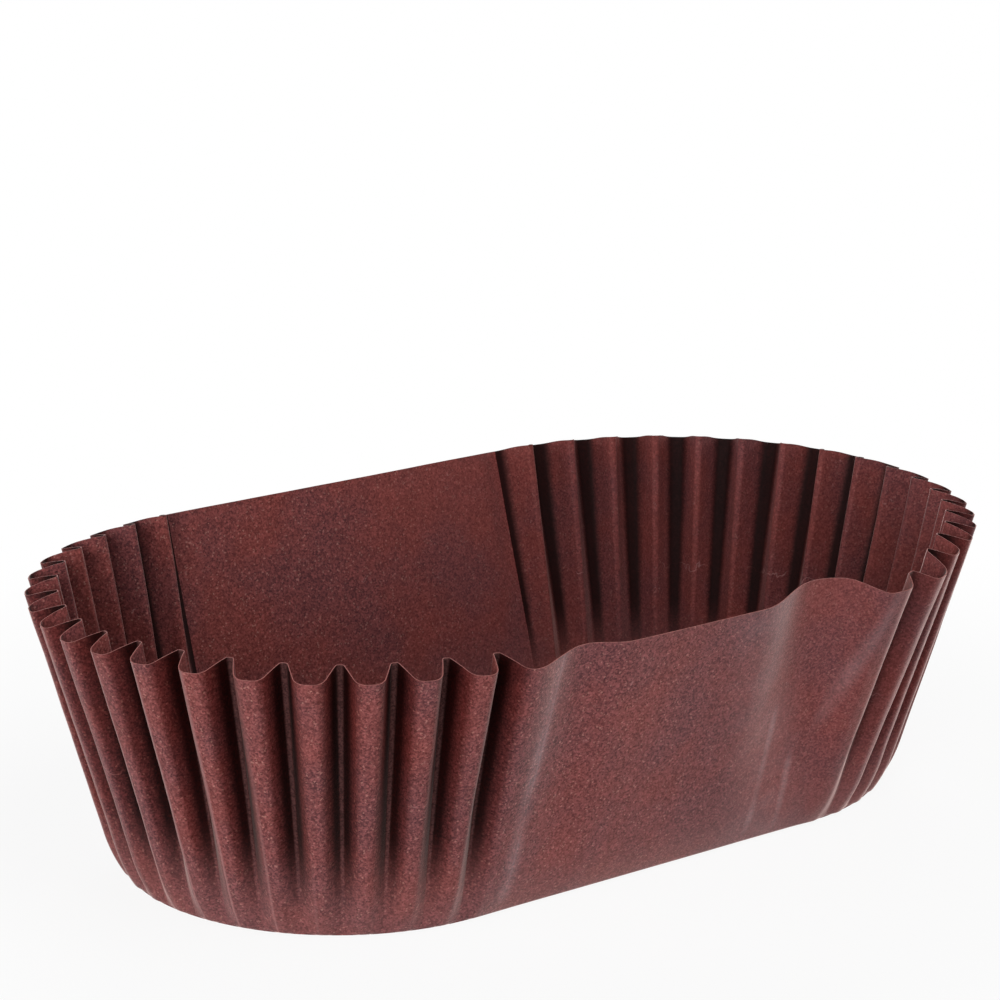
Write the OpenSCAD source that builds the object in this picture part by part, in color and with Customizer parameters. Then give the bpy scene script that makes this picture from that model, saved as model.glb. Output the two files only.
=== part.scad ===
// Loaf pan liner: one round-ended sheet of greaseproof paper, pressed to a tray.
// Millimetres. Origin at the middle of the foot's underside, +Z up,
// +X along the foot, the panel with the deeper bow faces -Y.
//
// The wall follows the paper itself. Every fold line starts on the foot's crease
// and has the same flat length up to the rim, and at every height the pleats are
// just deep enough to take up the paper that the rounded ends have to spare.

/* [Foot] */
// Length of the straight part of the foot
foot_straight = 42; // [30:0.5:60]
// Radius of the foot's rounded ends
foot_r = 21.3; // [17:0.1:26]
// Thickness of the paper
paper_t = 0.08; // [0.08:0.01:0.15]

/* [Wall] */
// Flat length of the wall, from the foot's crease to the rim
wall_len = 28.8; // [24:0.1:34]
// Lean of the straight upper wall, in degrees out from upright
wall_lean = 16.5; // [10:0.5:20]
// Lean just above the foot's crease, in degrees
foot_lean = 33; // [22:1:45]
// Flat length over which the wall eases from the foot's lean to its own
ease_len = 5; // [3:0.5:8]
// Flat length of the soft crease round the foot
crease_len = 0.5; // [0.3:0.1:1]

/* [Pleats] */
// Pleats in each rounded end
pleats = 18; // [14:1:20]
// How far the near end's pleats turn towards its back, in degrees
near_turn = 2; // [0:0.1:3]
// How far the far end's front pleats turn away from the front panel, in degrees
far_turn = 5.6; // [0:0.1:6]
// How far the near end hangs in from true round, at the rim
near_hollow = 0.45; // [0:0.05:0.8]
// Share by which the pleats beside the front panel's bow are shallower
far_shallow = 0.4; // [0:0.05:0.5]

/* [Panels] */
// Inward bow of the front panel, at the rim
front_bow = 2.5; // [0:0.1:3.5]
// From the far end of the front panel to the middle of its bow
bow_in = 6.4; // [5:0.1:12]
// Half the width of the bow
bow_half = 8.5; // [6:0.5:10]
// Inward dip at the front panel's soft crease, at the rim
dip = 1.1; // [0:0.1:2]
// From the near end of the front panel to the middle of that dip
dip_in = 6.4; // [5:0.1:12]
// Half the width of the dip
dip_half = 5; // [4:0.5:7]
// How far the pleats beside the bow stand out, at the rim
far_stand = 1.8; // [0:0.1:2]
// How far the pleats at the other panel ends stand out, at the rim
near_stand = 0.6; // [0:0.1:1.5]
// Inward bow of the back panel, at the rim
back_bow = 0.7; // [0:0.1:2]

/* [Hidden] */

half = foot_straight / 2;
pitch = 180 / pleats;
rad = PI / 180;
paper_colour = [0.44, 0.26, 0.25];

// Half a pleat, from the crown of a lobe to the bottom of a groove: each stretch as a
// share of the paper, and how far it turns towards the steepest flank
share = [0.12, 0.14, 0.14, 0.50, 0.08, 0.02];
turn = [0, 0.25, 0.6, 1, 0.6, 0];
stretches = len(share);
steepest = 100;
halvings = 18;

// Where round an end the pleats turn and hang in, in degrees
quarter = 90;
near_turn_waves = 4;
near_hollow_waves = 3;
far_turn_at = -65;
far_turn_spread = 45;

// Flat distances above the crease at which the wall's section is set out
rest_len = wall_len - ease_len;
low_len = crease_len + (ease_len - crease_len) / 3;
heights = [
    0, crease_len, low_len, ease_len,
    ease_len + rest_len / 4, ease_len + rest_len * 0.6, wall_len
];
crease_lean = 75;
top = len(heights) - 1;

// Points along a panel, closer together towards its ends
panel_pts = 23;
crowding = 0.6;
// How far the standing pleats spread, along the panel and round the end. Those beside
// the bow stand out evenly at first, and then spread.
stand_half = 3;
stand_spread = 6.5;
far_flat = 2.4;
far_spread = 5.6;

function ease(t) = (1 - cos(180 * t)) / 2;
function bump(d, w) = abs(d) < w ? (1 + cos(180 * d / w)) / 2 : 0;
function sum(v, n) = n < 0 ? 0 : v[n] + sum(v, n - 1);

// Lean of the wall's outer face at a flat distance s above the crease
function lean(s) = s < crease_len
    ? crease_lean + (foot_lean - crease_lean) * s / crease_len
    : s < ease_len
    ? foot_lean + (wall_lean - foot_lean) * (s - crease_len) / (ease_len - crease_len)
    : wall_lean;

// Radius of the lobes' crowns at each height
function crown_r(k) = k == 0
    ? foot_r
    : crown_r(k - 1) + (heights[k] - heights[k - 1])
        * sin((lean(heights[k]) + lean(heights[k - 1])) / 2);

// The first n stretches of half a pleat whose steepest flank turns by w: how far they
// reach round the end, and how deep, for a paper length of 1
function reach(w, n) = sum([for (j = [0:n - 1]) share[j] * cos(w * turn[j])], n - 1);
function depth(w, n) = sum([for (j = [0:n - 1]) share[j] * sin(w * turn[j])], n - 1);

// Paper in half a pleat, and how much of it a flank angle w leaves over
function paper(k) = (foot_r + heights[k]) * pitch * rad / 2;
function left_over(k, w) = paper(k) * reach(w, stretches)
    - (crown_r(k) - paper(k) * depth(w, stretches) / 2) * pitch * rad / 2;
function flank(k, low, high, n) = let (mid = (low + high) / 2) n == 0
    ? mid
    : left_over(k, mid) > 0
    ? flank(k, mid, high, n - 1)
    : flank(k, low, mid, n - 1);

flanks = [for (k = [0:top]) k == 0 ? 0 : flank(k, 0, steepest, halvings)];
crowns = [for (k = [0:top]) crown_r(k)];

// Points of a pleat from crown to crown: place as a share of the pitch, depth in mm
function half_pleat(k) = let (w = flanks[k]) [
    for (n = [1:stretches - 1]) [
        reach(w, n) / reach(w, stretches) / 2,
        paper(k) * depth(w, n)
    ]
];
function pleat(k) = let (h = half_pleat(k)) concat(
    h,
    [for (j = [len(h) - 1:-1:0]) [1 - h[j][0], h[j][1]]]
);

// How far a rounded end's fold line at angle a is turned round and stands out, at the
// rim. The far end is at +X (side 1), with its front at -90 degrees. The near end is at
// -X (side -1), with its front at 90.
function turned(a, side) = side > 0
    ? far_turn * bump(a - far_turn_at, far_turn_spread)
    : -near_turn * cos(a) * (1 + sin(near_turn_waves * a)) / 2;
function stands(a, side) = let (
    first = (a + quarter) * rad * foot_r,
    last = (a - quarter) * rad * foot_r
) side > 0
    ? far_stand * bump(max(first - far_flat, 0), far_spread)
        + near_stand * bump(last, stand_spread)
    : near_stand * (bump(first, stand_spread) + bump(last, stand_spread))
        - near_hollow * cos(a) * pow(sin(near_hollow_waves * a), 2);

// How deep a fold line lies, as a share of an even pleat's depth
function deepness(a, side) = side > 0
    ? 1 - far_shallow * bump((a + quarter) * rad * foot_r, far_flat + far_spread)
    : 1;

// One rounded end
function end_pts(k, side) = let (
    section = pleat(k),
    rise = heights[k] / wall_len
) [
    for (p = [0:pleats - 1]) for (q = section) let (
        a = (p + q[0]) * pitch - quarter,
        at = a + turned(a, side) * rise,
        r = crowns[k] - q[1] * deepness(a, side) + stands(a, side) * rise
    ) [side * (half + r * cos(at)), side * r * sin(at)]
];

// How far in the panels lie at the rim, at a place x along them
function back_in(x) = back_bow * bump(x, half)
    - near_stand * (bump(x - half, stand_half) + bump(x + half, stand_half));
function front_in(x) = let (far = bump(x - half, stand_half))
    (1 - far) * front_bow * bump(x - half + bow_in, bow_half)
        - far * far_stand
        + dip * bump(x + half - dip_in, dip_half)
        - near_stand * bump(x + half, stand_half);

// One panel: the back one from +X to -X (side 1), the front one from -X to +X (side -1)
function panel(k, side) = let (rise = heights[k] / wall_len) [
    for (i = [0:panel_pts - 1]) let (
        t = i / (panel_pts - 1),
        along = t * (1 - crowding) + ease(t) * crowding,
        x = side * half * (1 - 2 * along),
        inward = side > 0 ? back_in(x) : front_in(x)
    ) [x, side * (crowns[k] - inward * rise)]
];

function plan(k) = concat(
    end_pts(k, 1),
    panel(k, 1),
    end_pts(k, -1),
    panel(k, -1)
);

plans = [for (k = [0:top]) plan(k)];
around = len(plans[0]);

// Height of every point: what is left of its fold line's length after its run
function climb(i, k) = k == 0
    ? 0
    : climb(i, k - 1) + sqrt(max(
        pow(heights[k] - heights[k - 1], 2) - pow(norm(plans[k][i] - plans[k - 1][i]), 2),
        0
    ));
outer = [for (k = [0:top]) [
    for (i = [0:around - 1]) [plans[k][i][0], plans[k][i][1], climb(i, k)]
]];

// Inner face: the outer one moved in by the paper's thickness
function next(i) = (i + 1) % around;
function before(i) = (i + around - 1) % around;
function unit(v) = v / norm(v);
function out_dir(k, i) = unit(cross(
    outer[k][next(i)] - outer[k][before(i)],
    outer[min(k + 1, top)][i] - outer[max(k - 1, 0)][i]
));
function level_dir(i) = let (d = out_dir(0, i)) unit([d[0], d[1], 0]);
inner = [for (k = [0:top]) [
    for (i = [0:around - 1]) k == 0
        ? outer[0][i] - paper_t * level_dir(i) + [0, 0, paper_t]
        : outer[k][i] - paper_t * out_dir(k, i)
]];

// Faces run clockwise as seen from outside. A skin joins the rings of points from
// number base on.
function flipped(tris) = [for (f = tris) [f[0], f[2], f[1]]];
function skin(base) = [
    for (k = [0:top - 1]) for (i = [0:around - 1]) let (
        a = base + k * around + i,
        b = base + k * around + next(i),
        c = b + around,
        d = a + around
    ) each [[a, b, c], [a, c, d]]
];

// The flat foot is a ladder of strips that run across it
first = pleats * len(pleat(0)) / 2;
function rung(n) = [(first + n) % around, (first - 1 - n + around) % around];
function ladder(base) = [
    for (n = [0:around / 2 - 2]) let (a = rung(n), b = rung(n + 1)) each [
        [base + a[0], base + a[1], base + b[1]],
        [base + a[0], base + b[1], base + b[0]]
    ]
];

module paper_liner() {
    inside = around * (top + 1);
    rim = around * top;
    edge = [
        for (i = [0:around - 1]) each [
            [rim + i, inside + rim + next(i), rim + next(i)],
            [rim + i, inside + rim + i, inside + rim + next(i)]
        ]
    ];
    color(paper_colour)
        polyhedron(
            points = concat([for (r = outer) each r], [for (r = inner) each r]),
            faces = concat(
                flipped(skin(0)), skin(inside),
                flipped(ladder(0)), ladder(inside),
                edge
            ),
            convexity = 8
        );
}

paper_liner();
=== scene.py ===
"""Looks of a loaf pan liner: one sheet of brown greaseproof paper, folded to a fluted tray.

Lengths are in metres, in the frame of the CAD part: origin at the middle of the foot's
underside, +X along the foot, +Z up, the panel with the deeper bow facing -Y.
"""

import logging
import math
from dataclasses import dataclass, field, replace
from enum import Enum

import bmesh
import bpy
from mathutils import Matrix, Vector, noise


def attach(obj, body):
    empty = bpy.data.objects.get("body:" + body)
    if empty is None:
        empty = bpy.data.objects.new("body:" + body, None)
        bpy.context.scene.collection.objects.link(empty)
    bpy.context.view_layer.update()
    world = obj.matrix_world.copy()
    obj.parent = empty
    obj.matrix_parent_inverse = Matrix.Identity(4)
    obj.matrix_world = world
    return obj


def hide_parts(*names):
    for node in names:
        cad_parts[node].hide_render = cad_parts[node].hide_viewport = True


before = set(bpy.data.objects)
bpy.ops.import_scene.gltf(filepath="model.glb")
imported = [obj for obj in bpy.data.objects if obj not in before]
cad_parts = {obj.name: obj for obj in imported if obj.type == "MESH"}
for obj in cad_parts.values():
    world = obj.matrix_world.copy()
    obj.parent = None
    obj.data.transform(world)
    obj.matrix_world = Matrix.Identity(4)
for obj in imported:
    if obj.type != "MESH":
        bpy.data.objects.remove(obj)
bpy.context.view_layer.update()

LOG = logging.getLogger("liner")
MM = 0.001
LINER_NODE = "paper_liner"
BODY = "root"
FLANK = "flank"
EDGE = "edge"
RISE = "rise"
AHEAD = "ahead"
MERGE = 1e-6
GRID_DIGITS = 6
SHARP = math.radians(50.0)

Tone = tuple[float, float, float, float]
Span = tuple[float, float]
Socket = bpy.types.NodeSocket


def eased(t: float) -> float:
    """Return a smooth rise from 0 to 1 as t runs from 0 to 1."""
    t = min(max(t, 0.0), 1.0)
    return (1.0 - math.cos(math.pi * t)) / 2.0


def bump(distance: float, half_width: float) -> float:
    """Return a smooth hump of height 1 that ends half_width to either side.

    Args:
        distance: how far the place lies from the hump's middle.
        half_width: half the hump's width, in the same unit.

    Returns:
        1 at the middle, 0 outside the hump.
    """
    if abs(distance) >= half_width:
        return 0.0
    return (1.0 + math.cos(math.pi * distance / half_width)) / 2.0


def linear(red: int, green: int, blue: int) -> Tone:
    """Turn a screen colour into the linear one that a shader takes.

    Args:
        red: red, 0 to 255.
        green: green, 0 to 255.
        blue: blue, 0 to 255.

    Returns:
        Red, green, blue and an alpha of 1, linear.
    """
    def one(value: int) -> float:
        """Return one channel, linear."""
        share = value / 255.0
        return share / 12.92 if share <= 0.04045 else ((share + 0.055) / 1.055) ** 2.4
    return one(red), one(green), one(blue), 1.0


class End(Enum):
    """The two rounded ends of the liner, by the side of the foot that they close."""

    RIGHT = 1
    LEFT = -1


class Side(Enum):
    """The two long sides of the liner."""

    BACK = 1
    FRONT = -1


@dataclass(frozen=True)
class Stretch:
    """A stretch of half a pleat's section that runs straight or bends evenly.

    share is its part of the paper in half a pleat. turn_from and turn_to say how far it
    turns towards the steepest flank, and steps is how many facets draw it.
    """

    share: float
    turn_from: float
    turn_to: float
    steps: int

    def facets(self) -> list[tuple[float, float]]:
        """Return the stretch's facets, each as its share of the paper and its turn."""
        rise = (self.turn_to - self.turn_from) / self.steps
        return [
            (self.share / self.steps, self.turn_from + (i + 0.5) * rise)
            for i in range(self.steps)
        ]


@dataclass(frozen=True)
class PleatPoint:
    """One point of a pleat's section.

    place is its share of the pitch and depth its distance below the crown. steep is 0
    where the paper lies along the end and 1 where it runs straight in. used is the
    share of half a pleat's paper between the crown and the point. ahead is 1 on the
    counterclockwise side of a lobe and 0 on its other side.
    """

    place: float
    depth: float
    steep: float
    used: float
    ahead: float = 1.0


@dataclass(frozen=True)
class WallPoint:
    """One point of the wall's outline, with its place on a pleat, as PleatPoint has it."""

    x: float
    y: float
    steep: float = 0.0
    used: float = 0.0
    ahead: float = 0.0


@dataclass(frozen=True)
class PleatSection:
    """Section of one pleat: broad round lobe, steep flanks, narrow flat-bottomed groove."""

    stretches: tuple[Stretch, ...] = (
        Stretch(0.07, 0.0, 0.0, 1),
        Stretch(0.32, 0.0, 1.0, 7),
        Stretch(0.51, 1.0, 1.0, 4),
        Stretch(0.07, 1.0, 0.0, 3),
        Stretch(0.03, 0.0, 0.0, 1),
    )
    steepest: float = math.radians(100.0)
    halvings: int = 22

    def facets(self) -> list[tuple[float, float]]:
        """Return the facets of half a pleat, from the crown to the groove's bottom."""
        return [facet for stretch in self.stretches for facet in stretch.facets()]

    def reach(self, flank: float) -> float:
        """Return how far half a pleat reaches round the end, for 1 of paper."""
        return sum(share * math.cos(flank * turn) for share, turn in self.facets())

    def depth(self, flank: float) -> float:
        """Return how deep half a pleat goes, for 1 of paper."""
        return sum(share * math.sin(flank * turn) for share, turn in self.facets())

    def flank_for(self, paper: float, crown_r: float, half_pitch: float) -> float:
        """Find the flank angle that takes up the paper there is.

        Args:
            paper: length of paper in half a pleat.
            crown_r: radius of the lobes' crowns at this height.
            half_pitch: half the angle from pleat to pleat, in radians.

        Returns:
            The flank angle in radians.
        """
        low, high = 0.0, self.steepest
        for _ in range(self.halvings):
            mid = (low + high) / 2.0
            room = (crown_r - paper * self.depth(mid) / 2.0) * half_pitch
            if paper * self.reach(mid) > room:
                low = mid
            else:
                high = mid
        return (low + high) / 2.0

    def points(self, flank: float, paper: float) -> list[PleatPoint]:
        """Return the points of a whole pleat, crown to crown.

        Args:
            flank: flank angle in radians.
            paper: length of paper in half a pleat.

        Returns:
            The points of the pleat's section.
        """
        facets = self.facets()
        along, deep, used, half = 0.0, 0.0, 0.0, []
        whole = self.reach(flank)
        for (share, turn), (_, turn_after) in zip(facets, facets[1:]):
            along += share * math.cos(flank * turn)
            deep += share * math.sin(flank * turn)
            used += share
            steep = math.sin(min(flank * (turn + turn_after) / 2.0, math.pi / 2.0))
            half.append(PleatPoint(along / whole / 2.0, paper * deep, steep, used))
        return half + [
            replace(point, place=1.0 - point.place, ahead=0.0) for point in reversed(half)
        ]


@dataclass(frozen=True)
class PaperSheet:
    """The sheet and the lines it is folded on. The sizes are the CAD part's."""

    foot_half: float = 21.0 * MM
    foot_r: float = 21.3 * MM
    thickness: float = 0.08 * MM
    wall_len: float = 28.8 * MM
    wall_lean: float = math.radians(16.5)
    foot_lean: float = math.radians(33.0)
    crease_lean: float = math.radians(75.0)
    ease_len: float = 5.0 * MM
    crease_len: float = 0.5 * MM
    pleats: int = 18

    @property
    def half_pitch(self) -> float:
        """Return half the angle from pleat to pleat, in radians."""
        return math.pi / self.pleats / 2.0

    def lean(self, height: float) -> float:
        """Return the outer face's lean at a flat distance above the crease, in radians."""
        if height < self.crease_len:
            t = height / self.crease_len
            return self.crease_lean + (self.foot_lean - self.crease_lean) * t
        if height < self.ease_len:
            t = (height - self.crease_len) / (self.ease_len - self.crease_len)
            return self.foot_lean + (self.wall_lean - self.foot_lean) * t
        return self.wall_lean


@dataclass(frozen=True)
class PanelForm:
    """How the long sides bow and stand, at the rim."""

    front_bow: float = 2.5 * MM
    bow_in: float = 6.4 * MM
    bow_half: float = 8.5 * MM
    dip: float = 1.1 * MM
    dip_in: float = 6.4 * MM
    dip_half: float = 5.0 * MM
    far_stand: float = 1.8 * MM
    near_stand: float = 0.6 * MM
    back_bow: float = 0.7 * MM
    stand_half: float = 3.0 * MM
    stations: int = 49
    crowding: float = 0.6

    def inward(self, side: Side, x: float, half: float) -> float:
        """Return how far in a panel lies at the rim.

        Args:
            side: which panel.
            x: place along the panel.
            half: half the panel's length.

        Returns:
            The inward distance in metres.
        """
        near = bump(x + half, self.stand_half)
        far = bump(x - half, self.stand_half)
        if side is Side.BACK:
            return self.back_bow * bump(x, half) - self.near_stand * (near + far)
        bow = self.front_bow * bump(x - half + self.bow_in, self.bow_half)
        dip = self.dip * bump(x + half - self.dip_in, self.dip_half)
        return (1.0 - far) * bow - far * self.far_stand + dip - self.near_stand * near


@dataclass(frozen=True)
class EndForm:
    """How the rounded ends' pleats turn round and stand out, at the rim.

    Angles run counterclockwise. The far end's front is at a quarter turn below zero,
    and the near end's is at a quarter turn above it.
    """

    foot_r: float
    far_stand: float
    near_stand: float
    near_turn: float = math.radians(2.0)
    near_turn_waves: int = 4
    far_turn: float = math.radians(5.6)
    far_turn_at: float = math.radians(-65.0)
    far_turn_spread: float = math.radians(45.0)
    near_hollow: float = 0.45 * MM
    near_hollow_waves: int = 3
    far_shallow: float = 0.4
    stand_spread: float = 6.5 * MM
    far_flat: float = 2.4 * MM
    far_spread: float = 5.6 * MM

    def turned(self, end: End, angle: float) -> float:
        """Return how far a fold line is turned round its end, in radians."""
        if end is End.RIGHT:
            return self.far_turn * bump(angle - self.far_turn_at, self.far_turn_spread)
        wave = (1.0 + math.sin(self.near_turn_waves * angle)) / 2.0
        return -self.near_turn * math.cos(angle) * wave

    def stands(self, end: End, angle: float) -> float:
        """Return how far a fold line stands out from true round, in metres."""
        first = (angle + math.pi / 2.0) * self.foot_r
        last = (angle - math.pi / 2.0) * self.foot_r
        if end is End.RIGHT:
            out = self.far_stand * bump(max(first - self.far_flat, 0.0), self.far_spread)
            return out + self.near_stand * bump(last, self.stand_spread)
        out = self.near_stand * (bump(first, self.stand_spread) + bump(last, self.stand_spread))
        hollow = math.cos(angle) * math.sin(self.near_hollow_waves * angle) ** 2
        return out - self.near_hollow * hollow

    def deepness(self, end: End, angle: float) -> float:
        """Return how deep a fold line lies, as a share of an even pleat's depth."""
        if end is End.LEFT:
            return 1.0
        first = (angle + math.pi / 2.0) * self.foot_r
        return 1.0 - self.far_shallow * bump(first, self.far_flat + self.far_spread)


@dataclass
class LinerWall:
    """The folded sheet: flat foot, soft crease, long sides and pleated ends."""

    sheet: PaperSheet = field(default_factory=PaperSheet)
    section: PleatSection = field(default_factory=PleatSection)
    panels: PanelForm = field(default_factory=PanelForm)
    crease_rings: int = 4
    wall_rings: int = 27
    foot_rings: tuple[float, ...] = (0.0, 0.14, 0.36, 0.6, 0.8, 0.93, 0.985)
    low_crowding: float = 0.55
    calm: float = 0.25
    crumple: float = 0.10 * MM
    crumple_size: float = 9.0 * MM
    ripple: float = 0.035 * MM
    ripple_size: float = 2.8 * MM

    def ring_heights(self) -> list[float]:
        """Return the flat distances above the crease, close together near it."""
        low, top = self.sheet.crease_len, self.sheet.wall_len
        heights = [low * i / self.crease_rings for i in range(self.crease_rings)]
        for i in range(self.wall_rings + 1):
            t = i / self.wall_rings
            crowded = (1.0 - self.low_crowding) * t + self.low_crowding * t * t
            heights.append(low + (top - low) * crowded)
        return heights

    def crown_radii(self, heights: list[float]) -> list[float]:
        """Return the radius of the lobes' crowns at each of the heights."""
        radii, steps = [self.sheet.foot_r], 8
        for low, high in zip(heights, heights[1:]):
            run = 0.0
            for i in range(steps):
                at = low + (high - low) * (i + 0.5) / steps
                run += math.sin(self.sheet.lean(at)) * (high - low) / steps
            radii.append(radii[-1] + run)
        return radii

    def end_plan(self, end: End, height: float, crown_r: float) -> list[WallPoint]:
        """Set out one rounded end at one height.

        Args:
            end: which end.
            height: flat distance above the crease.
            crown_r: radius of the lobes' crowns there.

        Returns:
            The end's points, counterclockwise.
        """
        sheet = self.sheet
        form = EndForm(sheet.foot_r, self.panels.far_stand, self.panels.near_stand)
        rise = height / sheet.wall_len
        paper = (sheet.foot_r + height) * sheet.half_pitch
        flank = 0.0
        if height > 0.0:
            flank = self.section.flank_for(paper, crown_r, sheet.half_pitch)
        points = []
        for pleat in range(sheet.pleats):
            for point in self.section.points(flank, paper):
                a = (pleat + point.place) * 2.0 * sheet.half_pitch - math.pi / 2.0
                at = a + form.turned(end, a) * rise
                deepness = form.deepness(end, a)
                r = crown_r - point.depth * deepness + form.stands(end, a) * rise
                x = end.value * (sheet.foot_half + r * math.cos(at))
                y = end.value * r * math.sin(at)
                steep, used = point.steep * deepness, point.used * deepness
                points.append(WallPoint(x, y, steep, used, point.ahead))
        return points

    def panel_plan(self, side: Side, height: float, crown_r: float) -> list[WallPoint]:
        """Set out one long side at one height.

        Args:
            side: which side.
            height: flat distance above the crease.
            crown_r: distance of the panel from the liner's middle plane there.

        Returns:
            The side's points, counterclockwise.
        """
        panels, half = self.panels, self.sheet.foot_half
        rise = height / self.sheet.wall_len
        points = []
        for i in range(panels.stations):
            t = i / (panels.stations - 1)
            along = t * (1.0 - panels.crowding) + eased(t) * panels.crowding
            x = side.value * half * (1.0 - 2.0 * along)
            inward = panels.inward(side, x, half) * rise
            points.append(WallPoint(x, side.value * (crown_r - inward)))
        return points

    def plan(self, height: float, crown_r: float) -> list[WallPoint]:
        """Return the whole outline at one height, counterclockwise from the right end."""
        return (
            self.end_plan(End.RIGHT, height, crown_r)
            + self.panel_plan(Side.BACK, height, crown_r)
            + self.end_plan(End.LEFT, height, crown_r)
            + self.panel_plan(Side.FRONT, height, crown_r)
        )

    def crumpled(self, point: Vector, rise: float) -> Vector:
        """Return a point of the wall moved by the paper's soft unevenness.

        Args:
            point: the point on the even wall.
            rise: how far up the wall it lies, 0 to 1.

        Returns:
            The moved point.
        """
        centre_x = min(max(point.x, -self.sheet.foot_half), self.sheet.foot_half)
        outward = Vector((point.x - centre_x, point.y, 0.0)).normalized()
        slow = noise.noise(point / self.crumple_size)
        quick = noise.noise(point / self.ripple_size)
        uneven = self.crumple * slow + self.ripple * quick
        return point + outward * eased(rise / self.calm) * uneven

    def wall_points(self, heights: list[float]) -> tuple[list[list[Vector]], list[list[WallPoint]]]:
        """Fold the wall: every fold line keeps its flat length from the foot to the rim.

        Args:
            heights: flat distances above the crease.

        Returns:
            The rings of points, foot to rim, and the outlines that they were set out from.
        """
        plans = [self.plan(h, r) for h, r in zip(heights, self.crown_radii(heights))]
        climbs = [0.0] * len(plans[0])
        rings = [[Vector((point.x, point.y, 0.0)) for point in plans[0]]]
        for k in range(1, len(plans)):
            step = heights[k] - heights[k - 1]
            rise = heights[k] / self.sheet.wall_len
            ring = []
            for i, (point, below) in enumerate(zip(plans[k], plans[k - 1])):
                run = math.hypot(point.x - below.x, point.y - below.y)
                climbs[i] += math.sqrt(max(step * step - run * run, 0.0))
                ring.append(self.crumpled(Vector((point.x, point.y, climbs[i])), rise))
            rings.append(ring)
        return rings, plans

    def foot_points(self, outline: list[Vector]) -> list[list[Vector]]:
        """Return the foot's rings, from its middle line out to just inside the crease."""
        rings = []
        for keep in self.foot_rings:
            ring = []
            for point in outline:
                centre_x = min(max(point.x, -self.sheet.foot_half), self.sheet.foot_half)
                centre = Vector((centre_x, 0.0, 0.0))
                ring.append(centre + (point - centre) * keep)
            rings.append(ring)
        return rings

    def fold(self) -> bmesh.types.BMesh:
        """Lay the sheet out as a grid and fold it into the liner's outer face."""
        heights = self.ring_heights()
        wall, plans = self.wall_points(heights)
        foot = self.foot_points(wall[0])
        rings = foot + wall
        around = len(wall[0])
        plans = [plans[0]] * len(foot) + plans
        rises = [0.0] * len(foot) + [height / self.sheet.wall_len for height in heights]
        mesh = bmesh.new()
        flank_layer = mesh.verts.layers.float.new(FLANK)
        edge_layer = mesh.verts.layers.float.new(EDGE)
        rise_layer = mesh.verts.layers.float.new(RISE)
        ahead_layer = mesh.verts.layers.float.new(AHEAD)
        bmesh.ops.create_grid(mesh, x_segments=around, y_segments=len(rings) - 1, size=1.0)
        laid_out = sorted(mesh.verts, key=lambda v: (round(v.co.y, GRID_DIGITS), v.co.x))
        for number, vert in enumerate(laid_out):
            ring, column = divmod(number, around + 1)
            place = plans[ring][column % around]
            vert.co = rings[ring][column % around]
            vert[flank_layer] = place.steep
            vert[edge_layer] = place.used
            vert[rise_layer] = rises[ring]
            vert[ahead_layer] = place.ahead
        bmesh.ops.remove_doubles(mesh, verts=mesh.verts, dist=MERGE)
        bmesh.ops.dissolve_degenerate(mesh, edges=mesh.edges, dist=MERGE)
        return mesh

    def build(self, finishes: list[bpy.types.Material]) -> bpy.types.Object:
        """Fold the sheet, give it its thickness and dress it.

        Args:
            finishes: those of the outer face, the inner face and the cut edge.

        Returns:
            The finished liner, one object.
        """
        folded = self.fold()
        mesh = bpy.data.meshes.new("liner_paper")
        folded.to_mesh(mesh)
        folded.free()
        liner = bpy.data.objects.new("liner_paper", mesh)
        bpy.context.scene.collection.objects.link(liner)
        for finish in finishes:
            mesh.materials.append(finish)
        mesh.polygons.foreach_set("use_smooth", [True] * len(mesh.polygons))
        thick = liner.modifiers.new("thickness", "SOLIDIFY")
        thick.thickness = self.sheet.thickness
        thick.offset = -1.0
        thick.use_even_offset = True
        thick.material_offset = 1
        thick.material_offset_rim = 2
        graph = bpy.context.evaluated_depsgraph_get()
        solid = bpy.data.meshes.new_from_object(liner.evaluated_get(graph))
        liner.modifiers.clear()
        liner.data = solid
        solid.set_sharp_from_angle(angle=SHARP)
        return liner


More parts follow.
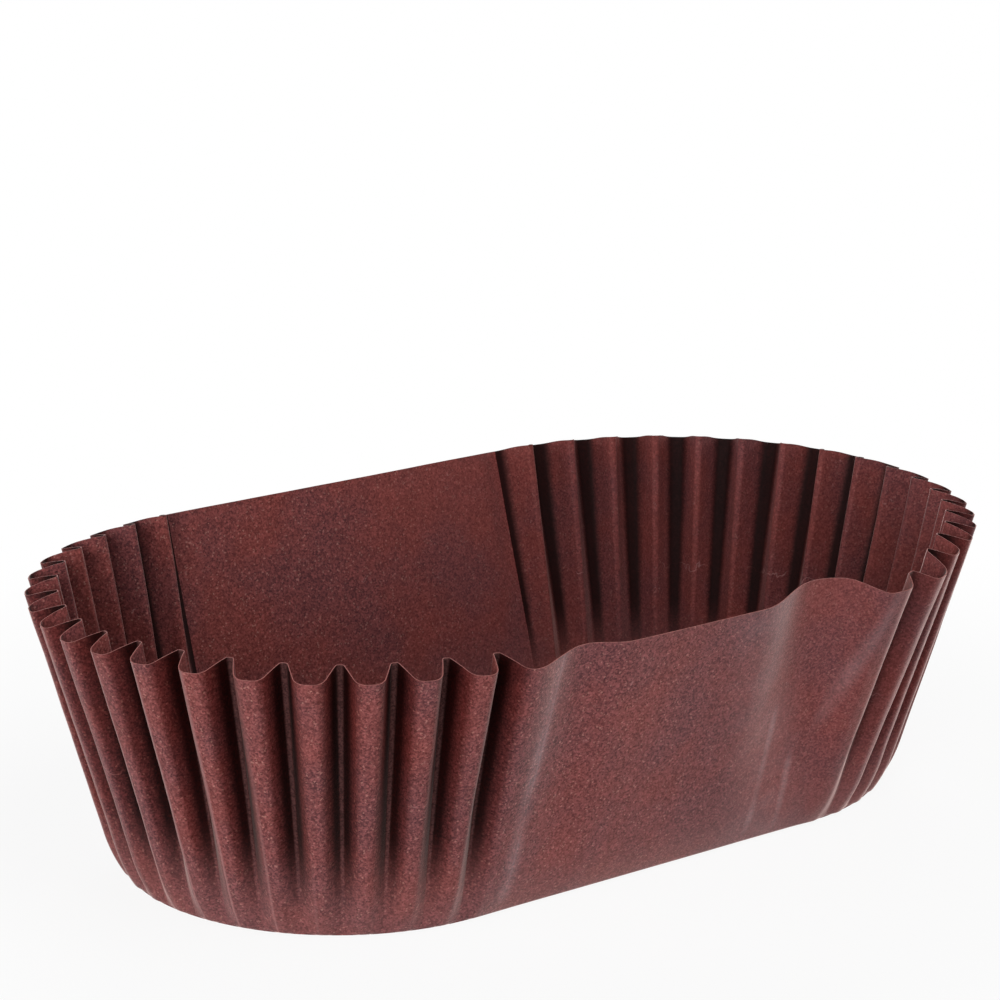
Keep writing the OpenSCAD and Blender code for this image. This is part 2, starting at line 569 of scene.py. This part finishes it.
class NodeSketch:
    """Short calls for laying out a material's or a group's nodes."""

    def __init__(self, tree: bpy.types.NodeTree) -> None:
        """Keep the tree that the nodes go into."""
        self.tree = tree

    def add(self, kind: str, **settings: object) -> bpy.types.Node:
        """Add a node and set its properties.

        Args:
            kind: the node's type name.
            settings: properties to set on it.

        Returns:
            The new node.
        """
        node = self.tree.nodes.new(kind)
        for name, value in settings.items():
            setattr(node, name, value)
        return node

    def join(self, source: object, target: object) -> None:
        """Link an output socket to an input, or set the input to a plain value."""
        if isinstance(source, Socket):
            self.tree.links.new(source, target)
        else:
            target.default_value = source

    def use(self, tree: bpy.types.NodeTree, where: Socket) -> bpy.types.Node:
        """Add a group of nodes and give it the place on the paper.

        Args:
            tree: the group.
            where: the coordinates it reads.

        Returns:
            The group's node.
        """
        group = self.add("ShaderNodeGroup", node_tree=tree)
        self.join(where, group.inputs["Vector"])
        return group

    def attribute(self, name: str) -> Socket:
        """Return a value that the mesh carries under a name."""
        return self.add("ShaderNodeAttribute", attribute_name=name).outputs["Fac"]

    def noise(self, where: object, scale: float, detail: float, rough: float = 0.5,
              distort: float = 0.0) -> Socket:
        """Add a noise pattern.

        Args:
            where: the coordinates it reads.
            scale: its scale, per metre.
            detail: how many finer layers it has.
            rough: how strong those are.
            distort: how much it is twisted.

        Returns:
            The pattern's value.
        """
        node = self.add("ShaderNodeTexNoise")
        self.join(where, node.inputs["Vector"])
        node.inputs["Scale"].default_value = scale
        node.inputs["Detail"].default_value = detail
        node.inputs["Roughness"].default_value = rough
        node.inputs["Distortion"].default_value = distort
        return node.outputs["Fac"]

    def math(self, operation: str, one: object, two: object = 0.0) -> Socket:
        """Add a sum on one or two values.

        Args:
            operation: what to do with them.
            one: the first value or socket.
            two: the second value or socket.

        Returns:
            The result.
        """
        node = self.add("ShaderNodeMath", operation=operation)
        self.join(one, node.inputs[0])
        self.join(two, node.inputs[1])
        return node.outputs[0]

    def band(self, value: object, low: float, high: float, to_low: float = 0.0,
             to_high: float = 1.0) -> Socket:
        """Spread a value's range smoothly over another.

        Args:
            value: the value or socket.
            low: where the rise starts.
            high: where it ends.
            to_low: the result at its start.
            to_high: the result at its end.

        Returns:
            The result.
        """
        node = self.add("ShaderNodeMapRange", interpolation_type="SMOOTHSTEP")
        self.join(value, node.inputs["Value"])
        node.inputs["From Min"].default_value = low
        node.inputs["From Max"].default_value = high
        node.inputs["To Min"].default_value = to_low
        node.inputs["To Max"].default_value = to_high
        return node.outputs["Result"]

    def blend(self, share: object, one: object, two: object,
              mode: str = "MIX") -> Socket:
        """Blend two colours.

        Args:
            share: how much of the second.
            one: the first colour or socket.
            two: the second colour or socket.
            mode: how they are blended.

        Returns:
            The blended colour.
        """
        node = self.add("ShaderNodeMix", data_type="RGBA", blend_type=mode)
        self.join(share, node.inputs["Factor"])
        self.join(one, node.inputs["A"])
        self.join(two, node.inputs["B"])
        return node.outputs["Result"]


@dataclass(frozen=True)
class PaperFibre:
    """The paper's own structure, as a group of nodes that all the finishes use."""

    cloud_scale: float = 120.0
    cloud_band: Span = (0.32, 0.68)
    mottle_scale: float = 1500.0
    mottle_share: float = 0.2
    felt_scale: float = 4600.0
    felt_band: Span = (0.3, 0.7)
    felt_share: float = 0.35
    grain_scale: float = 5400.0
    speck_scale: float = 6200.0
    speck_band: Span = (0.93, 1.0)
    hair_scale: float = 900.0
    hair_width: float = 0.010
    hair_height: float = 0.35
    gap_scale: float = 1170.0
    gap_band: Span = (0.60, 0.66)

    def cells(self, sketch: NodeSketch, where: object, scale: float) -> Socket:
        """Add tiny cells of paper, each with a value of its own.

        Args:
            sketch: the group's nodes.
            where: the coordinates they read.
            scale: cells per metre.

        Returns:
            The cells' values, 0 to 1.
        """
        cells = sketch.add("ShaderNodeTexVoronoi")
        sketch.join(where, cells.inputs["Vector"])
        cells.inputs["Scale"].default_value = scale
        tint = sketch.add("ShaderNodeSeparateColor")
        sketch.join(cells.outputs["Color"], tint.inputs["Color"])
        return tint.outputs["Red"]

    def group(self) -> bpy.types.NodeTree:
        """Build the group: clouds, grain, specks and hairs as masks, and a height.

        Returns:
            The group of nodes.
        """
        tree = bpy.data.node_groups.new("paper_fibre", "ShaderNodeTree")
        face = tree.interface
        face.new_socket("Vector", in_out="INPUT", socket_type="NodeSocketVector")
        for name in ("Clouds", "Grain", "Specks", "Hairs", "Height"):
            face.new_socket(name, in_out="OUTPUT", socket_type="NodeSocketFloat")
        sketch = NodeSketch(tree)
        where = sketch.add("NodeGroupInput").outputs["Vector"]
        out = sketch.add("NodeGroupOutput")
        clouds = sketch.noise(where, self.cloud_scale, 4.0, 0.55)
        mottle = sketch.noise(where, self.mottle_scale, 2.0, 0.6, 0.4)
        felt = sketch.band(sketch.noise(where, self.felt_scale, 2.0, 0.7), *self.felt_band)
        grain = self.cells(sketch, where, self.grain_scale)
        grain_share = 1.0 - self.mottle_share - self.felt_share
        speckle = sketch.math("ADD", sketch.math("MULTIPLY", mottle, self.mottle_share),
                              sketch.math("MULTIPLY", felt, self.felt_share))
        speckle = sketch.math("ADD", speckle, sketch.math("MULTIPLY", grain, grain_share))
        specks = sketch.band(self.cells(sketch, where, self.speck_scale), *self.speck_band)
        course = sketch.noise(where, self.hair_scale, 0.0, 0.5, 1.2)
        off_line = sketch.math("ABSOLUTE", sketch.math("SUBTRACT", course, 0.5))
        hair = sketch.band(off_line, 0.0, self.hair_width, 1.0, 0.0)
        gaps = sketch.band(sketch.noise(where, self.gap_scale, 1.0), *self.gap_band)
        hairs = sketch.math("MULTIPLY", hair, gaps)
        height = sketch.math("ADD", speckle, sketch.math("MULTIPLY", hairs, self.hair_height))
        sketch.join(sketch.band(clouds, *self.cloud_band), out.inputs["Clouds"])
        sketch.join(speckle, out.inputs["Grain"])
        sketch.join(specks, out.inputs["Specks"])
        sketch.join(hairs, out.inputs["Hairs"])
        sketch.join(height, out.inputs["Height"])
        return tree


@dataclass(frozen=True)
class PressMarks:
    """Small wrinkles that cross the lobes half way up, as a group of nodes."""

    height: float = 14.0 * MM
    wander: float = 3.0 * MM
    width: float = 0.10 * MM
    wander_scale: float = 650.0
    patch_scale: float = 240.0
    patch_band: Span = (0.54, 0.60)
    ends_from: float = 24.0 * MM

    def group(self) -> bpy.types.NodeTree:
        """Build the group: a mask of the wrinkles.

        Returns:
            The group of nodes.
        """
        tree = bpy.data.node_groups.new("press_marks", "ShaderNodeTree")
        face = tree.interface
        face.new_socket("Vector", in_out="INPUT", socket_type="NodeSocketVector")
        face.new_socket("Wrinkles", in_out="OUTPUT", socket_type="NodeSocketFloat")
        sketch = NodeSketch(tree)
        where = sketch.add("NodeGroupInput").outputs["Vector"]
        out = sketch.add("NodeGroupOutput")
        parts = sketch.add("ShaderNodeSeparateXYZ")
        sketch.join(where, parts.inputs[0])
        sway = sketch.noise(where, self.wander_scale, 2.0)
        line = sketch.math("MULTIPLY", sketch.math("SUBTRACT", sway, 0.5), self.wander)
        off = sketch.math("SUBTRACT", sketch.math("SUBTRACT", parts.outputs["Z"], self.height), line)
        wrinkle = sketch.band(sketch.math("ABSOLUTE", off), 0.0, self.width, 1.0, 0.0)
        patches = sketch.band(sketch.noise(where, self.patch_scale, 1.0), *self.patch_band)
        ends = sketch.math("GREATER_THAN", sketch.math("ABSOLUTE", parts.outputs["X"]), self.ends_from)
        wrinkle = sketch.math("MULTIPLY", wrinkle, sketch.math("MULTIPLY", patches, ends))
        sketch.join(wrinkle, out.inputs["Wrinkles"])
        return tree


@dataclass(frozen=True)
class CreaseAndSheenBand:
    """A straight pale band on the front panel, from the foot to the rim: a painted sheen, with crease
    wear near the left end.

    foot_x and rim_x are its ends. It shows from the height low to the height high.
    """

    foot_x: float
    rim_x: float
    half_width: float
    strength: float
    low: float = -1.0 * MM
    high: float = 40.0 * MM


@dataclass(frozen=True)
class PanelCreasesAndSheen:
    """Pale bands on the front panel, as a group of nodes: crease wear with a painted sheen near the left
    end, and a painted sheen, a painted reflection, across the bow.
    """

    wall_height: float = 27.5 * MM
    fade: float = 4.0 * MM
    # The first three bands are crease wear with a painted sheen near the left end; the broad fourth is a
    # painted sheen across the bow; the last three are narrower painted sheen streaks on the bow.
    sheen_and_crease_bands: tuple[CreaseAndSheenBand, ...] = (
        CreaseAndSheenBand(-19.0 * MM, -17.8 * MM, 1.5 * MM, 0.7),
        CreaseAndSheenBand(-18.9 * MM, -17.4 * MM, 0.45 * MM, 1.0),
        CreaseAndSheenBand(-19.2 * MM, -18.1 * MM, 0.3 * MM, 0.9),
        CreaseAndSheenBand(13.8 * MM, 6.8 * MM, 7.0 * MM, 0.45, low=-3.0 * MM),
        CreaseAndSheenBand(11.3 * MM, 12.9 * MM, 1.1 * MM, 1.0, high=13.0 * MM),
        CreaseAndSheenBand(15.2 * MM, 15.6 * MM, 0.9 * MM, 1.0, high=7.0 * MM),
        CreaseAndSheenBand(14.8 * MM, 22.2 * MM, 1.2 * MM, 0.4, low=10.0 * MM),
    )
    patch_scale: float = 260.0
    patch_band: Span = (0.3, 0.7)
    patch_low: float = 0.4

    def group(self) -> bpy.types.NodeTree:
        """Build the group: a mask of the crease wear and the painted sheen.

        Returns:
            The group of nodes.
        """
        tree = bpy.data.node_groups.new("panel_creases_and_sheen", "ShaderNodeTree")
        face = tree.interface
        face.new_socket("Vector", in_out="INPUT", socket_type="NodeSocketVector")
        face.new_socket("WearAndSheen", in_out="OUTPUT", socket_type="NodeSocketFloat")
        sketch = NodeSketch(tree)
        where = sketch.add("NodeGroupInput").outputs["Vector"]
        out = sketch.add("NodeGroupOutput")
        parts = sketch.add("ShaderNodeSeparateXYZ")
        sketch.join(where, parts.inputs[0])
        x, y, z = (parts.outputs[axis] for axis in "XYZ")
        wear_and_sheen: object = 0.0
        for crease in self.sheen_and_crease_bands:
            slope = (crease.rim_x - crease.foot_x) / self.wall_height
            line = sketch.math("ADD", sketch.math("MULTIPLY", z, slope), crease.foot_x)
            off = sketch.math("ABSOLUTE", sketch.math("SUBTRACT", x, line))
            mask = sketch.band(off, 0.0, crease.half_width, crease.strength, 0.0)
            risen = sketch.band(z, crease.low, crease.low + self.fade)
            below = sketch.band(z, crease.high, crease.high + self.fade, 1.0, 0.0)
            mask = sketch.math("MULTIPLY", mask, sketch.math("MULTIPLY", risen, below))
            wear_and_sheen = sketch.math("MAXIMUM", wear_and_sheen, mask)
        front = sketch.math("LESS_THAN", y, -self.wall_height / 2.0)
        patches = sketch.noise(where, self.patch_scale, 3.0)
        patches = sketch.band(patches, *self.patch_band, self.patch_low, 1.0)
        wear_and_sheen = sketch.math("MULTIPLY", wear_and_sheen, sketch.math("MULTIPLY", front, patches))
        sketch.join(wear_and_sheen, out.inputs["WearAndSheen"])
        return tree


@dataclass(frozen=True)
class GreaseproofFinish:
    """Brown greaseproof paper, dyed through, with its fibres showing, and with painted shade and painted
    highlights in its folds.
    """

    name: str = "greaseproof_brown"
    dark: Tone = linear(38, 13, 15)
    light: Tone = linear(182, 108, 107)
    ruddy: Tone = linear(124, 60, 54)
    cool: Tone = linear(84, 56, 62)
    # A pale tone for the fibres and wrinkles, and for the painted highlights in the folds, near the foot
    # and on the lobes' shoulders.
    pale_mark_and_highlight: Tone = linear(164, 118, 116)
    speck: Tone = linear(204, 150, 138)
    # sheen is a pale tone added to the front panel as a painted sheen, a painted reflection, along with
    # crease wear.
    sheen: Tone = linear(94, 92, 94)
    # shade and groove are painted shade, multiplied into the steep flanks and the grooves; the line
    # fields set a pale painted highlight along the grooves' bottoms.
    shade: Tone = linear(180, 144, 140)
    groove: Tone = linear(104, 68, 64)
    steep_band: Span = (0.1, 0.95)
    steep_rise: Span = (0.0, 0.35)
    deep_band: Span = (0.38, 0.75)
    deep_rise: Span = (0.02, 0.4)
    line_band: Span = (0.9, 0.98)
    line_share: float = 0.12
    line_grain: Span = (0.1, 0.6)
    line_grain_share: Span = (0.5, 1.4)
    grain_bend: float = 1.5
    cloud_share: float = 0.38
    speck_share: float = 0.35
    hair_share: float = 0.6
    wrinkle_share: float = 0.75
    # The foot fields paint light on the wall, paler towards the foot.
    foot_share: float = 0.12
    foot_rise: Span = (0.0, 0.4)
    foot_edge: float = 0.03
    plain: float = 0.28
    plain_share: float = 0.35
    plain_end: Span = (-10.0 * MM, 24.0 * MM)
    far_speck_share: float = 0.14
    # The shoulder fields set a pale painted highlight along one shoulder of the lobes at each end.
    near_shoulder: float = 0.2
    far_shoulder: float = 0.13
    shoulder_half: float = 0.1
    shoulder_share: float = 0.65
    shoulder_rise: Span = (0.1, 0.9)
    upper_share: float = 0.8
    far_end: Span = (21.5 * MM, 23.5 * MM)
    near_end: Span = (-23.5 * MM, -21.5 * MM)
    near_front: Span = (-20.0 * MM, -11.0 * MM)
    roughness: float = 0.6
    uneven: float = 0.06
    gloss: float = 0.08
    fuzz: float = 1.0
    fuzz_band: Span = (0.5, 0.95)
    fuzz_roughness: float = 0.32
    fuzz_tone: Tone = linear(244, 214, 208)
    bump_depth: float = 0.02 * MM
    bump_strength: float = 0.5

    def painted_fold_light(self, sketch: NodeSketch, tone: Socket,
                 grain: Socket) -> Socket:
        """Paint shade into the steep flanks and the grooves, and a pale painted highlight along the
        grooves' bottoms.

        Args:
            sketch: the material's nodes.
            tone: the paper's colour.
            grain: the paper's grain.

        Returns:
            The changed colour.
        """
        used, rise = sketch.attribute(EDGE), sketch.attribute(RISE)
        steep = sketch.band(sketch.attribute(FLANK), *self.steep_band)
        steep = sketch.math("MULTIPLY", steep, sketch.band(rise, *self.steep_rise))
        deep = sketch.band(used, *self.deep_band)
        deep = sketch.math("MULTIPLY", deep, sketch.band(rise, *self.deep_rise))
        # Painted shade in the steep flanks and the grooves.
        tone = sketch.blend(steep, tone, self.shade, "MULTIPLY")
        tone = sketch.blend(deep, tone, self.groove, "MULTIPLY")
        # A pale painted highlight along the grooves' bottoms, broken up by the grain.
        line = sketch.math("MULTIPLY", deep, sketch.band(used, *self.line_band, 0.0, self.line_share))
        grainy = sketch.band(grain, *self.line_grain, *self.line_grain_share)
        line = sketch.math("MULTIPLY", line, grainy)
        return sketch.blend(line, tone, self.pale_mark_and_highlight)

    def painted_foot_and_shoulder_light(self, sketch: NodeSketch, tone: Socket,
                where: Socket) -> Socket:
        """Paint light on the wall near the foot, and a pale painted highlight along one shoulder of each
        lobe at the ends.

        At the near end it is the lobes' clockwise shoulder, and not on the front lobes. At
        the far end it is the other shoulder, and only on the front half.

        Args:
            sketch: the material's nodes.
            tone: the paper's colour.
            where: the place on the paper.

        Returns:
            The changed colour.
        """
        used, rise, ahead = (sketch.attribute(name) for name in (EDGE, RISE, AHEAD))
        # Painted light: the wall is painted paler towards the foot.
        low = sketch.band(rise, *self.foot_rise, self.foot_share, 0.0)
        tone = sketch.blend(low, tone, self.pale_mark_and_highlight)
        parts = sketch.add("ShaderNodeSeparateXYZ")
        sketch.join(where, parts.inputs[0])
        x, y = parts.outputs["X"], parts.outputs["Y"]
        far = sketch.math("MULTIPLY", sketch.band(x, *self.far_end), sketch.math("LESS_THAN", y, 0.0))
        far = sketch.math("MULTIPLY", far, ahead)
        wall = sketch.band(rise, 0.0, self.foot_edge)
        near = sketch.math("MULTIPLY", sketch.band(x, *self.near_end, 1.0, 0.0),
                           sketch.band(y, *self.near_front))
        near = sketch.math("MULTIPLY", near, sketch.math("SUBTRACT", 1.0, ahead))
        # A pale painted highlight along one shoulder of each lobe.
        for highlit_place, shoulder in ((far, self.far_shoulder), (near, self.near_shoulder)):
            off = sketch.math("ABSOLUTE", sketch.math("SUBTRACT", used, shoulder))
            pale = sketch.band(off, 0.0, self.shoulder_half, self.shoulder_share, 0.0)
            pale = sketch.math("MULTIPLY", pale, sketch.math("MULTIPLY", highlit_place, wall))
            fading = sketch.band(rise, *self.shoulder_rise, 1.0, self.upper_share)
            pale = sketch.math("MULTIPLY", pale, fading)
            tone = sketch.blend(pale, tone, self.pale_mark_and_highlight)
        return tone

    def grained(self, sketch: NodeSketch, paper: bpy.types.Node,
                where: Socket) -> tuple[Socket, Socket]:
        """Bend the grain towards dark, and soften it and the specks towards the far end.

        Args:
            sketch: the material's nodes.
            paper: the node with the paper's structure.
            where: the place on the paper.

        Returns:
            The changed grain and specks.
        """
        parts = sketch.add("ShaderNodeSeparateXYZ")
        sketch.join(where, parts.inputs[0])
        plain = sketch.band(parts.outputs["X"], *self.plain_end, 0.0, self.plain_share)
        bent = sketch.math("POWER", paper.outputs["Grain"], self.grain_bend)
        kept = sketch.math("MULTIPLY", bent, sketch.math("SUBTRACT", 1.0, plain))
        grain = sketch.math("ADD", kept, sketch.math("MULTIPLY", plain, self.plain))
        share = sketch.band(parts.outputs["X"], *self.plain_end,
                            self.speck_share, self.far_speck_share)
        return grain, sketch.math("MULTIPLY", paper.outputs["Specks"], share)

    def material(self, fibre: bpy.types.NodeTree, marks: bpy.types.NodeTree,
                 sheen_and_crease_bands: bpy.types.NodeTree | None = None) -> bpy.types.Material:
        """Build the finish.

        Args:
            fibre: the group of nodes with the paper's structure.
            marks: the group of nodes with the wrinkles.
            sheen_and_crease_bands: the group of nodes with the panel's crease wear and painted sheen,
                where it has them.

        Returns:
            The material.
        """
        material = bpy.data.materials.new(self.name)
        material.use_nodes = True
        sketch = NodeSketch(material.node_tree)
        shader = material.node_tree.nodes["Principled BSDF"]
        where = sketch.add("ShaderNodeTexCoord").outputs["Object"]
        paper = sketch.use(fibre, where)
        pressed = sketch.use(marks, where)
        grain, specks = self.grained(sketch, paper, where)
        tone = sketch.blend(grain, self.dark, self.light)
        clouds = sketch.blend(paper.outputs["Clouds"], self.ruddy, self.cool)
        tone = sketch.blend(self.cloud_share, tone, clouds)
        tone = sketch.blend(specks, tone, self.speck)
        hairs = sketch.math("MULTIPLY", paper.outputs["Hairs"], self.hair_share)
        tone = sketch.blend(hairs, tone, self.pale_mark_and_highlight)
        wrinkles = sketch.math("MULTIPLY", pressed.outputs["Wrinkles"], self.wrinkle_share)
        tone = sketch.blend(wrinkles, tone, self.pale_mark_and_highlight)
        # Painted sheen on the front panel, with crease wear near its left end, added onto the colour.
        if sheen_and_crease_bands is not None:
            wear_and_sheen = sketch.use(sheen_and_crease_bands, where).outputs["WearAndSheen"]
            tone = sketch.blend(wear_and_sheen, tone, self.sheen, "ADD")
        # Painted shade and highlights in the folds, then painted light near the foot and painted
        # highlights on the lobes' shoulders.
        tone = self.painted_foot_and_shoulder_light(sketch, self.painted_fold_light(sketch, tone, grain), where)
        sketch.join(tone, shader.inputs["Base Color"])
        rough = sketch.band(paper.outputs["Grain"], 0.0, 1.0,
                            self.roughness + self.uneven, self.roughness - self.uneven)
        sketch.join(rough, shader.inputs["Roughness"])
        shader.inputs["Specular IOR Level"].default_value = self.gloss
        lobes = sketch.band(sketch.attribute(FLANK), *self.fuzz_band, self.fuzz, 0.0)
        sketch.join(lobes, shader.inputs["Sheen Weight"])
        shader.inputs["Sheen Roughness"].default_value = self.fuzz_roughness
        shader.inputs["Sheen Tint"].default_value = self.fuzz_tone
        relief = sketch.add("ShaderNodeBump")
        relief.inputs["Strength"].default_value = self.bump_strength
        relief.inputs["Distance"].default_value = self.bump_depth
        height = sketch.math("ADD", paper.outputs["Height"], wrinkles)
        sketch.join(height, relief.inputs["Height"])
        sketch.join(relief.outputs["Normal"], shader.inputs["Normal"])
        return material


@dataclass(frozen=True)
class InsideFinish(GreaseproofFinish):
    """The paper's inner face, where the lobes are hollows and the grooves stand out."""

    name: str = "greaseproof_inside"
    light: Tone = linear(186, 100, 96)
    # hollow is painted shade for the lobes' hollows on the inner face.
    hollow: Tone = linear(72, 38, 36)
    hollow_band: Span = (0.12, 0.42)
    hollow_rise: Span = (0.0, 0.4)
    shoulder_share: float = 0.0

    def painted_fold_light(self, sketch: NodeSketch, tone: Socket,
                 grain: Socket) -> Socket:
        """Paint shade into the lobes' hollows.

        Args:
            sketch: the material's nodes.
            tone: the paper's colour.
            grain: the paper's grain; not used here.

        Returns:
            The changed colour.
        """
        inside = sketch.band(sketch.attribute(EDGE), *self.hollow_band, 1.0, 0.0)
        pleated = sketch.math("GREATER_THAN", sketch.attribute(EDGE), 0.0)
        inside = sketch.math("MULTIPLY", inside, pleated)
        risen = sketch.band(sketch.attribute(RISE), *self.hollow_rise)
        inside = sketch.math("MULTIPLY", inside, risen)
        return sketch.blend(inside, tone, self.hollow, "MULTIPLY")


@dataclass(frozen=True)
class CutEdgeFinish:
    """The cut edge of the paper round the rim, where its paler core shows."""

    name: str = "cut_edge"
    core: Tone = linear(168, 104, 96)
    dyed: Tone = linear(128, 66, 62)
    roughness: float = 0.7

    def material(self, fibre: bpy.types.NodeTree) -> bpy.types.Material:
        """Build the finish.

        Args:
            fibre: the group of nodes with the paper's structure.

        Returns:
            The material.
        """
        material = bpy.data.materials.new(self.name)
        material.use_nodes = True
        sketch = NodeSketch(material.node_tree)
        shader = material.node_tree.nodes["Principled BSDF"]
        where = sketch.add("ShaderNodeTexCoord").outputs["Object"]
        paper = sketch.use(fibre, where)
        tone = sketch.blend(paper.outputs["Grain"], self.dyed, self.core)
        sketch.join(tone, shader.inputs["Base Color"])
        shader.inputs["Roughness"].default_value = self.roughness
        return material


@dataclass(frozen=True)
class PhotoCamera:
    """The camera, at the photograph's viewing angle."""

    target: tuple[float, float, float] = (-1.99 * MM, -0.09 * MM, 32.35 * MM)
    distance: float = 352.1 * MM
    azimuth: float = math.radians(-37.52)
    elevation: float = math.radians(15.74)
    roll: float = math.radians(0.28)
    sensor: float = 36.0
    lens: float = 129.17
    clip: Span = (0.01, 50.0)

    def build(self) -> bpy.types.Object:
        """Make the camera and give it to the scene.

        Returns:
            The camera.
        """
        data = bpy.data.cameras.new("photo_camera")
        data.sensor_width = self.sensor
        data.lens = self.lens
        data.clip_start, data.clip_end = self.clip
        camera = bpy.data.objects.new("photo_camera", data)
        bpy.context.scene.collection.objects.link(camera)
        back = Vector((
            math.sin(self.azimuth) * math.cos(self.elevation),
            -math.cos(self.azimuth) * math.cos(self.elevation),
            math.sin(self.elevation),
        ))
        right = Vector((0.0, 0.0, 1.0)).cross(back).normalized()
        up = back.cross(right)
        turned_right = math.cos(self.roll) * right + math.sin(self.roll) * up
        turned_up = -math.sin(self.roll) * right + math.cos(self.roll) * up
        turn = Matrix((turned_right, turned_up, back)).transposed().to_4x4()
        camera.matrix_world = Matrix.Translation(Vector(self.target) + back * self.distance) @ turn
        bpy.context.scene.camera = camera
        return camera


@dataclass(frozen=True)
class Lamp:
    """One soft lamp: where it stands, how wide it is and how strong."""

    name: str
    place: tuple[float, float, float]
    width: float
    power: float
    aim: tuple[float, float, float] = (0.0, 0.0, 0.012)

    def build(self) -> bpy.types.Object:
        """Make the lamp and turn it to what it lights."""
        data = bpy.data.lights.new(self.name, "AREA")
        data.shape = "SQUARE"
        data.size = self.width
        data.energy = self.power
        lamp = bpy.data.objects.new(self.name, data)
        bpy.context.scene.collection.objects.link(lamp)
        lamp.location = self.place
        towards = Vector(self.aim) - Vector(self.place)
        lamp.rotation_euler = towards.to_track_quat("-Z", "Y").to_euler()
        return lamp


@dataclass(frozen=True)
class Studio:
    """Pale floor, white surroundings and soft lamps."""

    floor_half: float = 3.0
    floor_tone: Tone = (0.9, 0.9, 0.9, 1.0)
    floor_roughness: float = 0.9
    glow: float = 0.12
    near_white: float = 0.9
    white_from: float = 0.05
    white_to: float = 0.11
    lamps: tuple[Lamp, ...] = (
        Lamp("key", (-0.50, -0.40, 0.155), 0.32, 2.5),
        Lamp("front", (0.3, -1.0, 0.22), 0.5, 0.6),
        Lamp("side", (-1.0, 0.25, 0.2), 0.5, 3.5),
        Lamp("back", (0.6, 0.85, 0.3), 0.5, 5.0),
        Lamp("right", (1.0, -0.25, 0.25), 0.5, 1.6),
        Lamp("top", (0.1, -0.5, 0.9), 0.6, 3.3),
    )

    @staticmethod
    def seen(sketch: NodeSketch) -> Socket:
        """Tell the rays that show the background from those that light the object.

        Args:
            sketch: the nodes it is added to.

        Returns:
            1 for camera, glossy and transmission rays, 0 for the others.
        """
        path = sketch.add("ShaderNodeLightPath")
        rays = sketch.math("MAXIMUM", path.outputs["Is Camera Ray"], path.outputs["Is Glossy Ray"])
        return sketch.math("MAXIMUM", rays, path.outputs["Is Transmission Ray"])

    def floor_material(self) -> bpy.types.Material:
        """Make the floor's finish: it keeps the shadow and turns white away from it.

        Returns:
            The material.
        """
        material = bpy.data.materials.new("pale_floor")
        material.use_nodes = True
        sketch = NodeSketch(material.node_tree)
        shader = material.node_tree.nodes["Principled BSDF"]
        shader.inputs["Base Color"].default_value = self.floor_tone
        shader.inputs["Roughness"].default_value = self.floor_roughness
        shader.inputs["Specular IOR Level"].default_value = 0.0
        place = sketch.add("ShaderNodeTexCoord").outputs["Object"]
        far = sketch.add("ShaderNodeVectorMath", operation="LENGTH")
        sketch.join(place, far.inputs[0])
        white = sketch.band(far.outputs["Value"], self.white_from, self.white_to, self.near_white, 1.0)
        glow = sketch.add("ShaderNodeEmission")
        mix = sketch.add("ShaderNodeMixShader")
        sketch.join(sketch.math("MULTIPLY", white, self.seen(sketch)), mix.inputs["Fac"])
        sketch.join(shader.outputs["BSDF"], mix.inputs[1])
        sketch.join(glow.outputs["Emission"], mix.inputs[2])
        sketch.join(mix.outputs["Shader"], material.node_tree.nodes["Material Output"].inputs["Surface"])
        return material

    def floor(self) -> bpy.types.Object:
        """Make the floor.

        Returns:
            The floor.
        """
        mesh = bmesh.new()
        bmesh.ops.create_grid(mesh, x_segments=1, y_segments=1, size=self.floor_half)
        data = bpy.data.meshes.new("floor")
        mesh.to_mesh(data)
        mesh.free()
        floor = bpy.data.objects.new("floor", data)
        bpy.context.scene.collection.objects.link(floor)
        data.materials.append(self.floor_material())
        return floor

    def surroundings(self) -> bpy.types.World:
        """Make a world that looks white and lights softly.

        Returns:
            The world.
        """
        world = bpy.data.worlds.new("white_surroundings")
        world.use_nodes = True
        sketch = NodeSketch(world.node_tree)
        backdrop = world.node_tree.nodes["Background"]
        strength = sketch.band(self.seen(sketch), 0.0, 1.0, self.glow, 1.0)
        backdrop.inputs["Color"].default_value = (1.0, 1.0, 1.0, 1.0)
        sketch.join(strength, backdrop.inputs["Strength"])
        bpy.context.scene.world = world
        return world

    def build(self) -> None:
        """Make the floor, the surroundings and the lamps."""
        self.floor()
        self.surroundings()
        for lamp in self.lamps:
            lamp.build()


def main() -> None:
    """Build the camera, the liner and the studio, in that order."""
    logging.basicConfig(level=logging.INFO)
    bpy.context.scene.view_settings.view_transform = "Standard"
    PhotoCamera().build()
    fibre, marks, sheen_and_crease_bands = PaperFibre().group(), PressMarks().group(), PanelCreasesAndSheen().group()
    liner = LinerWall().build([
        GreaseproofFinish().material(fibre, marks, sheen_and_crease_bands),
        InsideFinish().material(fibre, marks),
        CutEdgeFinish().material(fibre),
    ])
    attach(liner, BODY)
    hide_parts(LINER_NODE)
    LOG.info("%s: %d faces", liner.name, len(liner.data.polygons))
    Studio().build()


if __name__ == "__main__":
    main()
